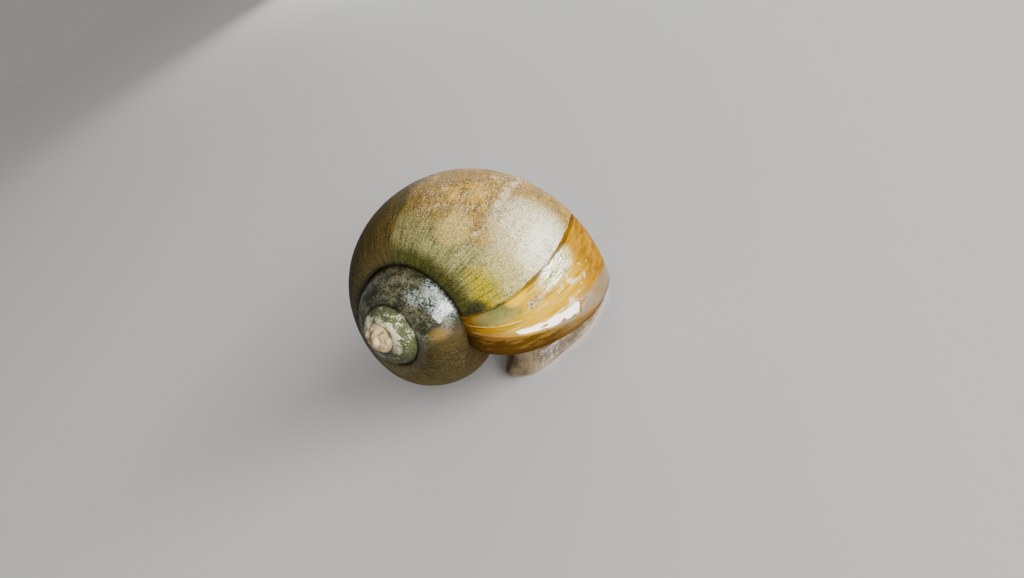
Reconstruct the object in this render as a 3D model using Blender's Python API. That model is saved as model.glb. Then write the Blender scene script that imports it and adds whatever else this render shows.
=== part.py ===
"""Golden apple snail at rest: a coiled shell over its gathered foot.

Metres, +Z up. The head points to -Y and the apex of the shell to +Y. The snail stands on the sole of
its foot and on a small flat under the belly of the shell, with the origin on that level below the
middle of the whole animal.
"""
import math

import bmesh
import bpy
from mathutils import Matrix, Vector
from mathutils.geometry import interpolate_bezier

MM = 0.001

# Shell: the mouth's outline as a leaning ellipse, and the spiral that carries it down from the apex
MOUTH_RADIUS = 20.34 * MM
MOUTH_DEPTH = 30.77 * MM
MOUTH_OUTER_HALF = 11.73 * MM
MOUTH_INNER_HALF = 15.02 * MM
MOUTH_HALF_HEIGHT = 18.63 * MM
MOUTH_LEAN = math.radians(14.1)
GROWTH_PER_TURN = 2.106
BASE_SWELL = 0.031
GROWTH_LINE_SLOPE = -0.261
OLD_LIP_SLOPE = -0.357
OLD_LIP = math.radians(29)
LIP_REACH = 0.25
APEX_TURNS = 3.8
APEX_BEAD = 0.95 * MM

# Stance of the shell on the floor
APEX = Vector((4.95, 23.52, 25.40)) * MM
APEX_RISE = math.radians(22.36)
COIL_TURN = math.radians(163.47)

# Shell walls and the clearances between pieces
GAP = 0.3 * MM
WHORL_GAP = 0.35 * MM
SUTURE_EDGE = 0.6 * MM
GROWTH_STEP = 0.4 * MM
LIP_WALL = 1.1 * MM
MANTLE_INSET = 1.4 * MM

# Foot, lengthwise along the heading
HEADING = math.radians(12)
SOLE_CENTRE = Vector((-13.8, -4.5, 0.0)) * MM
SOLE_HALF_LENGTH = 15.5 * MM
SOLE_HALF_WIDTH = 9.2 * MM
SOLE_EDGE = 1.2 * MM
SOLE_EGG = 0.12
SOLE_FLARE = 1.03
SOLE_RUFFLE = 0.02
SOLE_WAVES = 7
MOUTH_SHIFT = 0.3 * MM
MOUTH_EGG = 0.16
PAD_HALF_LENGTH = 12.6 * MM
PAD_HALF_WIDTH = 7.4 * MM
WAIST = 0.80
WAIST_LEVELS = (0.3, 0.6, 0.85)
FOOT_SIDES = 42
COLUMN_AHEAD = 11.2 * MM
COLUMN_HALF_LENGTH = 3.9 * MM
COLUMN_HALF_WIDTH = 6.5 * MM
COLUMN_SUNK = 1.5 * MM

# Head: snout and neck as ellipsoids, with feelers that start inside them and curl to the floor
SNOUT = Vector((-8.4, -22.8, 3.5)) * MM
SNOUT_HALF = Vector((4.2, 4.4, 3.2)) * MM
NECK = Vector((-8.3, -17.8, 3.2)) * MM
NECK_HALF = Vector((4.2, 5.6, 2.5)) * MM
MOUTH_SLIT = Vector((0.5, 1.6, 1.3)) * MM
SLIT_DROP = 0.35
TENTACLE_ROOT = 1.05 * MM
TENTACLE_TIP = 0.28 * MM
TENTACLE_STUB = 3.0 * MM
LEFT_TENTACLE = ((2.2, -0.2, 1.1), (6.3, -4.5, 2.0), (13.2, -3.5, -2.2), (13.7, 3.5, -2.3))
RIGHT_TENTACLE = ((-2.2, -0.2, 1.1), (-6.1, -4.5, 2.0), (-5.2, -7.8, -1.6), (-1.4, -9.2, -2.3))
PALP_ROOT = 0.95 * MM
PALP_TIP = 0.3 * MM
PALP_STUB = 2.7 * MM
LEFT_PALP = ((1.5, -2.4, -0.4), (1.9, -4.3, -0.2), (2.5, -5.5, -1.1), (2.8, -6.3, -2.1))
EYE_RADIUS = 0.8 * MM
EYE_SUNK = 0.6
STALK_RADIUS = 0.85 * MM
STALK_SPREAD = 1.3
LEFT_STALK = ((2.0, 0.6, 1.0), (4.1, 0.9, 2.2))

# Siphon and operculum
SIPHON_RADIUS = 1.5 * MM
SIPHON_BORE = 0.9 * MM
SIPHON_DEPTH = 2.5 * MM
BORE_PAST = 1.0 * MM
SIPHON_ROUTE = ((-6.9, -8.5, 11.2), (-6.1, -12.0, 5.6), (-2.9, -14.5, 4.9), (-1.4, -19.2, 4.6))
OPERCULUM_BEHIND = 3.4 * MM
OPERCULUM_HALF_LENGTH = 10.6 * MM
OPERCULUM_HALF_WIDTH = 7.4 * MM
OPERCULUM_THICK = 0.9 * MM
OPERCULUM_DISH = 0.7 * MM

# Fineness of the meshes
WHORL_STEPS = 38
WHORL_SIDES = 16
SPIRE_STEPS = 30
SPIRE_SIDES = 12
LIP_STEPS = 8
LIP_SIDES = 22
MANTLE_STEPS = 6
MANTLE_SIDES = 12
MANTLE_PAST = 0.04
ROUTE_POINTS = 200
CAP_LEVELS = (0.1, 0.35, 0.65, 0.9)
APEX_STRETCHES = ((-2.8, -2.0), (-3.6, -2.7), (-APEX_TURNS, -3.5))
APEX_STEPS_PER_TURN = 22
SUNK_START = 0.88
SUNK_RISE = 0.8


def clear_scene():
    """Remove what the scene starts with."""
    for ob in list(bpy.data.objects):
        bpy.data.objects.remove(ob)


def new_collection(name):
    coll = bpy.data.collections.new(name)
    bpy.context.scene.collection.children.link(coll)
    return coll


clear_scene()
SNAIL = new_collection("apple_snail")
CUTTERS = new_collection("cutters")


# Helpers for meshes

def finish_mesh(name, bm):
    """Turn a bmesh into an object of the snail with its faces pointing out."""
    bmesh.ops.recalc_face_normals(bm, faces=bm.faces)
    mesh = bpy.data.meshes.new(name)
    bm.to_mesh(mesh)
    bm.free()
    ob = bpy.data.objects.new(name, mesh)
    SNAIL.objects.link(ob)
    return ob


def skin(bm, rings):
    """Side faces between rings of equally many points; returns the rows of vertices."""
    rows = [[bm.verts.new(p) for p in ring] for ring in rings]
    count = len(rings[0])
    for row, after in zip(rows, rows[1:]):
        for i in range(count):
            j = (i + 1) % count
            bm.faces.new((row[i], row[j], after[j], after[i]))
    return rows


def loft(name, rings):
    """Skin flat rings and close both ends."""
    bm = bmesh.new()
    rows = skin(bm, rings)
    bm.faces.new(rows[0])
    bm.faces.new(rows[-1])
    return finish_mesh(name, bm)


def arched_cap(bm, row, levels):
    """Close a ring of an outer and a returning inner arc by rows of points between the arcs."""
    half = len(row) // 2
    outer, inner = row[:half], row[half:][::-1]
    rows = [outer] + [[None] + [bm.verts.new(p) for p in level] + [None] for level in levels] + [inner]
    for i in range(half - 1):
        ends = [r[i] for r in rows if r[i]], [r[i + 1] for r in rows if r[i + 1]]
        if len(ends[0]) == len(ends[1]):
            for k in range(len(ends[0]) - 1):
                bm.faces.new((ends[0][k], ends[1][k], ends[1][k + 1], ends[0][k + 1]))
            continue
        short, full = sorted(ends, key=len)
        bm.faces.new((short[0], full[0], full[1]))
        bm.faces.new([short[0]] + full[1:] + [short[1]])


def ball(name, centre, half, extra=0.0, sides=20):
    """An ellipsoid with the given half sizes."""
    bm = bmesh.new()
    bmesh.ops.create_uvsphere(bm, u_segments=sides, v_segments=sides // 2, radius=1.0)
    size = Matrix.Diagonal(Vector([h + extra for h in half])).to_4x4()
    bmesh.ops.transform(bm, matrix=Matrix.Translation(centre) @ size, verts=bm.verts)
    return finish_mesh(name, bm)


def tube(name, points, radii):
    """A tapering tube along a smooth run of points, as a closed mesh."""
    curve = bpy.data.curves.new(name, "CURVE")
    curve.dimensions = "3D"
    curve.bevel_depth = 1.0
    curve.bevel_resolution = 3
    curve.use_fill_caps = True
    spline = curve.splines.new("POLY")
    spline.points.add(len(points) - 1)
    for knot, place, radius in zip(spline.points, points, radii):
        knot.co = (*place, 1.0)
        knot.radius = radius
    source = bpy.data.objects.new(name, curve)
    SNAIL.objects.link(source)
    evaluated = source.evaluated_get(bpy.context.evaluated_depsgraph_get())
    mesh = bpy.data.meshes.new_from_object(evaluated)
    bpy.data.objects.remove(source)
    bm = bmesh.new()
    bm.from_mesh(mesh)
    bmesh.ops.remove_doubles(bm, verts=bm.verts, dist=0.01 * MM)
    return finish_mesh(name, bm)


def bake(ob):
    """Apply an object's modifiers to its mesh."""
    evaluated = ob.evaluated_get(bpy.context.evaluated_depsgraph_get())
    mesh = bpy.data.meshes.new_from_object(evaluated)
    ob.modifiers.clear()
    ob.data = mesh


def keep_largest(ob):
    """Keep only the largest closed surface of a mesh."""
    bm = bmesh.new()
    bm.from_mesh(ob.data)
    left = set(bm.verts)
    groups = []
    while left:
        group, edge = set(), [left.pop()]
        while edge:
            vert = edge.pop()
            group.add(vert)
            for link in vert.link_edges:
                other = link.other_vert(vert)
                if other in left:
                    left.remove(other)
                    edge.append(other)
        groups.append(group)
    groups.sort(key=lambda g: max(v.co.x for v in g) - min(v.co.x for v in g)
                + max(v.co.y for v in g) - min(v.co.y for v in g)
                + max(v.co.z for v in g) - min(v.co.z for v in g))
    for group in groups[:-1]:
        bmesh.ops.delete(bm, geom=list(group), context="VERTS")
    bm.to_mesh(ob.data)
    bm.free()


def join_pieces(name, pieces):
    """Fuse closed meshes into one node with a single union."""
    group = bpy.data.collections.new("pieces_" + name)
    base, rest = pieces[0], pieces[1:]
    for ob in rest:
        group.objects.link(ob)
        SNAIL.objects.unlink(ob)
    union = base.modifiers.new("union", "BOOLEAN")
    union.operation = "UNION"
    union.operand_type = "COLLECTION"
    union.collection = group
    bpy.context.view_layer.update()
    bake(base)
    for ob in rest:
        bpy.data.objects.remove(ob)
    bpy.data.collections.remove(group)
    keep_largest(base)
    base.name = name
    return base


def carve(ob, cutters):
    """Cut pieces out of a node one after the other, then remove the cutters."""
    for cutter in cutters:
        SNAIL.objects.unlink(cutter)
        CUTTERS.objects.link(cutter)
        cutter.hide_render = True
        cutter.display_type = "WIRE"
        cut = ob.modifiers.new("cut", "BOOLEAN")
        cut.operation = "DIFFERENCE"
        cut.object = cutter
    bpy.context.view_layer.update()
    bake(ob)
    for cutter in cutters:
        bpy.data.objects.remove(cutter)
    keep_largest(ob)


def slice_off(ob, point, normal):
    """Cut a node flat and drop the side that the normal points to."""
    bm = bmesh.new()
    bm.from_mesh(ob.data)
    geom = bm.verts[:] + bm.edges[:] + bm.faces[:]
    cut = bmesh.ops.bisect_plane(bm, geom=geom, dist=1e-7, plane_co=point, plane_no=normal, clear_outer=True)
    edges = [e for e in cut["geom_cut"] if isinstance(e, bmesh.types.BMEdge)]
    bmesh.ops.edgeloop_fill(bm, edges=edges)
    bmesh.ops.recalc_face_normals(bm, faces=bm.faces)
    bm.to_mesh(ob.data)
    bm.free()


def rest_on_floor(ob):
    """Cut a small flat at floor level."""
    slice_off(ob, Vector((0, 0, 0)), Vector((0, 0, -1)))


# The spiral

SHELL_POSE = (Matrix.Translation(APEX)
              @ Matrix.Rotation(APEX_RISE - math.pi / 2, 4, "X")
              @ Matrix.Rotation(COIL_TURN, 4, "Z"))


def growth(turn):
    """Size of the shell at a turning angle in radians before (negative) the lip."""
    return GROWTH_PER_TURN ** (turn / (2 * math.pi))


def outline(angle):
    """Radius and depth of the mouth's outline; 0 is outward and 90 degrees is toward the apex."""
    half = MOUTH_OUTER_HALF if math.cos(angle) > 0 else MOUTH_INNER_HALF
    x = half * math.cos(angle)
    y = MOUTH_HALF_HEIGHT * math.sin(angle)
    radius = MOUTH_RADIUS + x * math.cos(MOUTH_LEAN) - y * math.sin(MOUTH_LEAN)
    depth = MOUTH_DEPTH - x * math.sin(MOUTH_LEAN) - y * math.cos(MOUTH_LEAN)
    swell = math.exp(BASE_SWELL * (depth / MOUTH_DEPTH - 1))
    return Vector((radius * swell, depth * swell))


def pushed_outline(angle, push):
    """A point of the outline moved out of it by a distance."""
    along = outline(angle + 0.01) - outline(angle - 0.01)
    out = Vector((-along.y, along.x)).normalized()
    return outline(angle) + push * out


def on_shell(turn, point, slope, ahead=0.0):
    """Place a point of the mouth's plane at a turn, slid along the spiral as the growth lines slope."""
    turn = turn + slope * (point.y / MOUTH_DEPTH - 1) + ahead / (point.x * growth(turn))
    size = growth(turn)
    place = Vector((math.cos(-turn) * point.x, math.sin(-turn) * point.x, -point.y)) * size
    return SHELL_POSE @ place


def slope_at(turn):
    """Slope of the growth lines, steeper at the old lip."""
    near = math.exp(-((turn + OLD_LIP) / LIP_REACH) ** 2)
    return GROWTH_LINE_SLOPE + (OLD_LIP_SLOPE - GROWTH_LINE_SLOPE) * near


INNER_LOOP = [outline(math.radians(a)) / GROWTH_PER_TURN for a in range(360)]


def nearest_inner(point):
    """Distance to the whorl before, and the angle on its outline that is nearest."""
    away = [(point - q).length for q in INNER_LOOP]
    best = min(range(360), key=away.__getitem__)
    return away[best], best


def free_arc(clearance):
    """First and last angle, in degrees, of the outline that stand clear of the whorl before."""
    def away(angle):
        return nearest_inner(outline(math.radians(angle)))[0]
    first = min(range(60, 130), key=away)
    while away(first) < clearance:
        first -= 0.5
    last = -60
    while away(last) > clearance:
        last -= 0.5
    return first, last


def spread(first, last, count):
    return [first + (last - first) * i / count for i in range(count + 1)]


def crescent(gap, inset, sides):
    """Section of a whorl: its outline, inset, closed by the notch that the whorl before leaves."""
    first, last = free_arc(gap + inset + SUTURE_EDGE)
    outer = [pushed_outline(math.radians(a), -inset) for a in spread(first, last, sides)]
    near_first = (nearest_inner(outer[0])[1] + 180) % 360 - 180
    near_last = nearest_inner(outer[-1])[1] - 360
    notch = []
    for a in spread(near_first, near_last, sides):
        point = pushed_outline(math.radians(a), gap * GROWTH_PER_TURN) / GROWTH_PER_TURN
        notch.append(point)
    return outer + notch[::-1]


def coil(name, start, stop, steps, section, cap_levels=()):
    """Sweep a section, given as a function of the size of the shell, from a gap past start to stop."""
    bm = bmesh.new()
    turns = spread(start, stop, steps)
    gaps = [WHORL_GAP] + [0.0] * steps
    sections = [section(growth(turn)) for turn in turns]
    rings = []
    for turn, gap, points in zip(turns, gaps, sections):
        rings.append([on_shell(turn, p, slope_at(turn), gap) for p in points])
    rows = skin(bm, rings)
    for end in (0, -1):
        turn, gap, points = turns[end], gaps[end], sections[end]
        half = len(points) // 2
        pairs = list(zip(points[:half], points[half:][::-1]))[1:-1]
        levels = []
        for share in cap_levels:
            levels.append([on_shell(turn, a.lerp(b, share), slope_at(turn), gap) for a, b in pairs])
        arched_cap(bm, rows[end], levels)
    return finish_mesh(name, bm)


def material(name, colour, roughness):
    mat = bpy.data.materials.new(name)
    mat.use_nodes = True
    shader = mat.node_tree.nodes["Principled BSDF"]
    shader.inputs["Base Color"].default_value = (*colour, 1)
    shader.inputs["Roughness"].default_value = roughness
    shader.inputs["Metallic"].default_value = 0.0
    return mat


def dress(ob, colour, roughness):
    """Give a node its own material and smooth shading."""
    ob.data.materials.clear()
    ob.data.materials.append(material(ob.name, colour, roughness))
    ob.data.shade_smooth()
    ob.data.set_sharp_from_angle(angle=math.radians(40))
    return ob


# Shell

TURN = 2 * math.pi


def sunk_section(start):
    """The whole outline, drawn in where a stretch begins inside the one before."""
    half = SPIRE_SIDES // 2 - 1
    apart = 90 / (half + 1)
    middle = Vector((MOUTH_RADIUS, MOUTH_DEPTH))
    around = spread(90 - apart, apart - 90, half) + spread(-90 - apart, apart - 270, half)
    whole = [outline(math.radians(a)) for a in around]

    def section(size):
        turns_past = math.log(size, GROWTH_PER_TURN) - start
        share = min(1.0, SUNK_START + SUNK_RISE * turns_past)
        return [middle + (p - middle) * share for p in whole]
    return section


def whorl_section(size):
    return crescent(WHORL_GAP / size, 0.0, WHORL_SIDES)


def spire_section(size):
    return crescent(WHORL_GAP / size, 0.0, SPIRE_SIDES)


def make_apex():
    """The first whorls, fused to one small cone with a rounded tip."""
    pieces = []
    for start, stop in APEX_STRETCHES:
        steps = round((stop - start) * APEX_STEPS_PER_TURN)
        pieces.append(coil("stretch", start * TURN, stop * TURN, steps, sunk_section(start)))
    tip = on_shell(-APEX_TURNS * TURN, Vector((MOUTH_RADIUS, MOUTH_DEPTH)), 0)
    pieces.append(ball("tip", tip, [APEX_BEAD] * 3, sides=12))
    return join_pieces("shell_apex", pieces)


def make_spire_whorl():
    return coil("shell_spire_whorl", -2 * TURN, -TURN, SPIRE_STEPS, spire_section, CAP_LEVELS)


def make_body_whorl():
    """The big whorl, with a flat under its belly."""
    ob = coil("shell_body_whorl", -TURN, -OLD_LIP, WHORL_STEPS, whorl_section, CAP_LEVELS)
    rest_on_floor(ob)
    return ob


def lip_section(size):
    """The wall of the new growth, from the suture round to the umbilicus."""
    first, last = free_arc(WHORL_GAP + SUTURE_EDGE)
    angles = [math.radians(a) for a in spread(first, last, LIP_SIDES)]
    outer = [pushed_outline(a, -GROWTH_STEP) for a in angles]
    inner = [pushed_outline(a, -GROWTH_STEP - LIP_WALL) for a in angles]
    return outer + inner[::-1]


def make_new_growth():
    """The thin, fresh edge of the shell, stepped in from the old lip."""
    return coil("shell_new_growth", -OLD_LIP, 0.0, LIP_STEPS, lip_section)


# Mouth of the shell

def mouth_axes():
    """Middle of the mouth, its long direction from the suture, its short direction, and its normal."""
    deep = Vector((MOUTH_RADIUS, MOUTH_DEPTH + MOUTH_HALF_HEIGHT))
    high = Vector((MOUTH_RADIUS, MOUTH_DEPTH - MOUTH_HALF_HEIGHT))
    wide = Vector((MOUTH_RADIUS + MOUTH_OUTER_HALF, MOUTH_DEPTH))
    centre = on_shell(0.0, Vector((MOUTH_RADIUS, MOUTH_DEPTH)), GROWTH_LINE_SLOPE)
    along = (on_shell(0.0, deep, GROWTH_LINE_SLOPE) - on_shell(0.0, high, GROWTH_LINE_SLOPE)).normalized()
    across = on_shell(0.0, wide, GROWTH_LINE_SLOPE) - centre
    across = (across - along * across.dot(along)).normalized()
    normal = along.cross(across)
    if normal.z > 0:
        normal = -normal
    return centre, along, across, normal


MOUTH_CENTRE, MOUTH_ALONG, MOUTH_ACROSS, MOUTH_NORMAL = mouth_axes()


def mantle_section(size):
    return crescent(WHORL_GAP / size, GROWTH_STEP + LIP_WALL + GAP, MANTLE_SIDES)


def make_mantle():
    """The soft edge of the body that fills the mouth behind the lip, cut level with it."""
    ob = coil("mantle", -OLD_LIP, MANTLE_PAST, MANTLE_STEPS, mantle_section, CAP_LEVELS)
    slice_off(ob, MOUTH_CENTRE - MOUTH_NORMAL * MANTLE_INSET, MOUTH_NORMAL)
    return ob


# Foot and head

FORWARD = Vector((-math.sin(HEADING), -math.cos(HEADING), 0))
SIDEWAYS = Vector((math.cos(HEADING), -math.sin(HEADING), 0))


def sole_ring(height, flare):
    """An egg-shaped ring with a wavy rim, broader in front, at a height over the floor."""
    ring = []
    for i in range(FOOT_SIDES):
        a = TURN * i / FOOT_SIDES
        wave = flare * (1 + SOLE_RUFFLE * math.sin(SOLE_WAVES * a))
        ahead = SOLE_HALF_LENGTH * wave * math.cos(a)
        beside = SOLE_HALF_WIDTH * wave * (1 + SOLE_EGG * math.cos(a)) * math.sin(a)
        ring.append(SOLE_CENTRE + FORWARD * ahead + SIDEWAYS * beside + Vector((0, 0, height)))
    return ring


def mouth_ring(drop, ahead, half_length, half_width):
    """An egg-shaped ring level with the mouth, broader in front, below its plane and ahead of its middle."""
    centre = MOUTH_CENTRE + MOUTH_NORMAL * drop + MOUTH_ALONG * ahead + MOUTH_ACROSS * MOUTH_SHIFT
    ring = []
    for i in range(FOOT_SIDES):
        a = TURN * i / FOOT_SIDES
        wide = half_width * (1 + MOUTH_EGG * math.cos(a))
        ring.append(centre + MOUTH_ALONG * (half_length * math.cos(a)) - MOUTH_ACROSS * (wide * math.sin(a)))
    return ring


def make_foot():
    """The sole spread on the floor, the pad that carries the operculum, and the column into the mouth."""
    sole = sole_ring(0.0, 1.0)
    edge = sole_ring(SOLE_EDGE, SOLE_FLARE)
    seat = OPERCULUM_THICK / 2 + GAP
    top = mouth_ring(seat, 0, PAD_HALF_LENGTH, PAD_HALF_WIDTH)
    rings = [sole, edge]
    for share in WAIST_LEVELS:
        narrow = 1 - (1 - WAIST) * math.sin(math.pi * share)
        ring = [a.lerp(b, share) for a, b in zip(edge, top)]
        middle = sum(ring, Vector()) / len(ring)
        rings.append([middle + (p - middle) * narrow for p in ring])
    rings.append(top)
    column = [mouth_ring(drop, COLUMN_AHEAD, COLUMN_HALF_LENGTH, COLUMN_HALF_WIDTH)
              for drop in (seat + COLUMN_SUNK, GAP - MANTLE_INSET)]
    ob = join_pieces("foot", [loft("pad", rings), loft("column", column)])
    cutters = [ball("neck_room", NECK, NECK_HALF, WHORL_GAP), ball("snout_room", SNOUT, SNOUT_HALF, WHORL_GAP)]
    cutters.append(operculum_plate("plate_room", GAP))
    carve(ob, cutters)
    rest_on_floor(ob)
    return ob


def route(knots, origin=Vector()):
    """Points along a curve given in millimetres from an origin, and each one's distance from the start."""
    handles = [origin + Vector(k) * MM for k in knots]
    fine = interpolate_bezier(*handles, ROUTE_POINTS)
    lengths = [0.0]
    for a, b in zip(fine, fine[1:]):
        lengths.append(lengths[-1] + (b - a).length)
    return fine, lengths


def place_at(path, want):
    """The point of a route at a distance from its start."""
    fine, lengths = path
    i = max(k for k in range(len(fine) - 1) if lengths[k] <= want)
    share = (want - lengths[i]) / (lengths[i + 1] - lengths[i])
    return fine[i].lerp(fine[i + 1], min(share, 1.0))


def stretch(name, path, start, stop, root, tip, count=8):
    """One length of a tapering feeler, between two distances along its route."""
    whole = path[1][-1]
    wanted = spread(start, stop, count)
    points = [place_at(path, want) for want in wanted]
    radii = [root + (tip - root) * want / whole for want in wanted]
    return tube(name, points, radii)


def mirrored(knots):
    return tuple((-k[0], k[1], k[2]) for k in knots)


TENTACLES = {"left": route(LEFT_TENTACLE, SNOUT), "right": route(RIGHT_TENTACLE, SNOUT)}
PALPS = {"left": route(LEFT_PALP, SNOUT), "right": route(mirrored(LEFT_PALP), SNOUT)}
STALKS = {"left": LEFT_STALK, "right": mirrored(LEFT_STALK)}


def stalk_ends(side):
    return [SNOUT + Vector(k) * MM for k in STALKS[side]]


def make_head():
    """Snout and neck with the roots of the feelers, the eye stalks and the slit of the mouth."""
    pieces = [ball("snout", SNOUT, SNOUT_HALF), ball("neck", NECK, NECK_HALF)]
    for side in ("left", "right"):
        pieces.append(stretch("root", TENTACLES[side], 0, TENTACLE_STUB, TENTACLE_ROOT, TENTACLE_TIP))
        pieces.append(stretch("root", PALPS[side], 0, PALP_STUB, PALP_ROOT, PALP_TIP))
        base, top = stalk_ends(side)
        pieces.append(tube("stalk", [base, top], [STALK_RADIUS * STALK_SPREAD, STALK_RADIUS]))
    head = join_pieces("head", pieces)
    slit = ball("slit", SNOUT + Vector((0, -SNOUT_HALF.y, -SNOUT_HALF.z * SLIT_DROP)), MOUTH_SLIT)
    carve(head, [slit])
    return head


def make_tentacle(side):
    """A tentacle in three lengths, each facing the one before across a thin gap."""
    path = TENTACLES[side]
    whole = path[1][-1]
    cuts = spread(TENTACLE_STUB, whole, 3)
    nodes = []
    for part, start, stop in zip(("base", "middle", "tip"), cuts, cuts[1:]):
        name = f"tentacle_{side}_{part}"
        nodes.append(stretch(name, path, start + GAP, stop, TENTACLE_ROOT, TENTACLE_TIP))
    return nodes


def make_palp(side):
    path = PALPS[side]
    return stretch(f"labial_palp_{side}", path, PALP_STUB + GAP, path[1][-1], PALP_ROOT, PALP_TIP)


def make_eye(side):
    """A bead on the end of its stalk, cut flat where it meets it."""
    base, top = stalk_ends(side)
    out = (top - base).normalized()
    centre = top + out * (GAP + EYE_RADIUS * EYE_SUNK)
    eye = ball(f"eye_{side}", centre, [EYE_RADIUS] * 3, sides=16)
    slice_off(eye, top + out * GAP, -out)
    return eye


def make_siphon():
    """A short breathing tube from the edge of the mantle, open in front."""
    path = route(SIPHON_ROUTE)
    whole = path[1][-1]
    ob = stretch("siphon", path, 0, whole, SIPHON_RADIUS, SIPHON_RADIUS)
    slice_off(ob, MOUTH_CENTRE - MOUTH_NORMAL * (MANTLE_INSET - GAP), -MOUTH_NORMAL)
    end = path[0][-1]
    back = (place_at(path, whole - SIPHON_DEPTH) - end).normalized()
    bore = tube("bore", [end - back * BORE_PAST, end + back * SIPHON_DEPTH], [SIPHON_BORE, SIPHON_BORE])
    carve(ob, [bore])
    return ob


def operculum_plate(name, extra=0.0):
    """An oval plate in the plane of the mouth, hollowed a little on its outer face."""
    half = OPERCULUM_THICK / 2 + extra
    rings = []
    for share, side in ((0.1, 1), (0.4, 1), (0.75, 1), (1.0, 0.6), (1.0, -0.6), (0.75, -1), (0.4, -1), (0.1, -1)):
        drop = half * side - OPERCULUM_DISH * (1 - share ** 2)
        long = OPERCULUM_HALF_LENGTH * share + extra
        wide = OPERCULUM_HALF_WIDTH * share + extra
        rings.append(mouth_ring(drop, -OPERCULUM_BEHIND, long, wide))
    return loft(name, rings)


def centre_on_origin():
    """Move the whole snail so that the origin lies below the middle of its box."""
    places = [v.co for ob in SNAIL.objects for v in ob.data.vertices]
    middle = [(min(p[i] for p in places) + max(p[i] for p in places)) / 2 for i in range(2)]
    for ob in SNAIL.objects:
        ob.data.transform(Matrix.Translation((-middle[0], -middle[1], 0)))


def build():
    """Make every node and give it its finish."""
    dress(make_apex(), (0.62, 0.50, 0.34), 0.6)
    dress(make_spire_whorl(), (0.30, 0.28, 0.15), 0.55)
    dress(make_body_whorl(), (0.52, 0.40, 0.20), 0.55)
    dress(make_new_growth(), (0.62, 0.36, 0.06), 0.25)
    dress(make_mantle(), (0.28, 0.22, 0.13), 0.4)
    dress(make_foot(), (0.30, 0.25, 0.17), 0.45)
    dress(make_head(), (0.26, 0.21, 0.14), 0.45)
    dress(make_siphon(), (0.30, 0.24, 0.15), 0.45)
    dress(operculum_plate("operculum"), (0.20, 0.11, 0.05), 0.35)
    for side in ("left", "right"):
        for node in make_tentacle(side):
            dress(node, (0.24, 0.19, 0.13), 0.45)
        dress(make_palp(side), (0.26, 0.21, 0.14), 0.45)
        dress(make_eye(side), (0.01, 0.01, 0.01), 0.1)
    centre_on_origin()


build()
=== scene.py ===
# %% [markdown]
# # A golden apple snail at rest
#
# This lesson dresses the solid model of an apple snail until it looks like the living animal. The
# solids come first, as a fixed frame that gives every size and place. Each step then makes one piece of
# the animal around that frame: the worn old shell, the fresh glossy edge that the snail has just added
# to it, the soft body, the horny lid and the eyes. Lengths are in metres, and MM is a millimetre.

# %% Load the frame
import math

import bpy
import numpy as np
from mathutils import Matrix, Vector, noise


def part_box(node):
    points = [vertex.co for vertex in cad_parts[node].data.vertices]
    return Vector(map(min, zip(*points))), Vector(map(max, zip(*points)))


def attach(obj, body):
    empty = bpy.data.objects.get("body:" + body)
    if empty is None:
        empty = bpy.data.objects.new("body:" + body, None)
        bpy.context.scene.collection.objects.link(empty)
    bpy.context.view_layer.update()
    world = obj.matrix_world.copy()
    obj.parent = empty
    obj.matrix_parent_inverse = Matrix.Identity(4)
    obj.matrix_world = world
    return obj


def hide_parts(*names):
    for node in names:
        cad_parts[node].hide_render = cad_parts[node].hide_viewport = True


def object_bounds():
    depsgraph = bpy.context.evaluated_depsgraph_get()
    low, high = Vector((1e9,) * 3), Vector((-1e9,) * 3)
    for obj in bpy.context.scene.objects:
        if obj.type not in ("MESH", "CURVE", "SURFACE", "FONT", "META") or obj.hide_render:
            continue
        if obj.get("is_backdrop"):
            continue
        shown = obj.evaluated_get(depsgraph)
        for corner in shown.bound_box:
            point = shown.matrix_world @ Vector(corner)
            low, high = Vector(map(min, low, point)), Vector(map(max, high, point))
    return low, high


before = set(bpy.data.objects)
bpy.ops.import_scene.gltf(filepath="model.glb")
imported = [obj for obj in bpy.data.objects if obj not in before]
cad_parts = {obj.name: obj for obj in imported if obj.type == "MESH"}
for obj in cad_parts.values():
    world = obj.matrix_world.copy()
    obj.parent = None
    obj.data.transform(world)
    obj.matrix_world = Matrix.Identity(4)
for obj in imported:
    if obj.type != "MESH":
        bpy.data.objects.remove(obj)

MM = 0.001
TURN = 2 * math.pi
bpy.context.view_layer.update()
print("solids:", sorted(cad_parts))

# %% [markdown]
# ## The camera
#
# The camera looks down on the shell from behind, over the spire, and is rolled a little, as a hand-held
# camera is. Its three axes are written down as they were found from the shape of the spiral. Keeping
# them as numbers is the simplest way to hold a view that isn't level. The lens is wide and near.

# %% Camera
CAMERA_PLACE = Vector((-112.79, 92.55, 96.70)) * MM
CAMERA_RIGHT = Vector((-0.7677, -0.4362, -0.4695))
CAMERA_UP = Vector((-0.0398, -0.6987, 0.7143))
LENS = 26
SENSOR_WIDTH = 36


def put_in_scene(name, data):
    made = bpy.data.objects.new(name, data)
    bpy.context.scene.collection.objects.link(made)
    return made


camera_data = bpy.data.cameras.new("camera")
camera_data.lens = LENS
camera_data.sensor_width = SENSOR_WIDTH
camera_data.clip_start = 10 * MM
camera_data.clip_end = 50
camera = put_in_scene("camera", camera_data)
right = CAMERA_RIGHT.normalized()
back = right.cross(CAMERA_UP).normalized()
up = back.cross(right)
camera.matrix_world = Matrix.Translation(CAMERA_PLACE) @ Matrix((right, up, back)).transposed().to_4x4()
bpy.context.scene.camera = camera
print("camera height over the floor:", round(CAMERA_PLACE.z / MM, 1), "mm")

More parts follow.
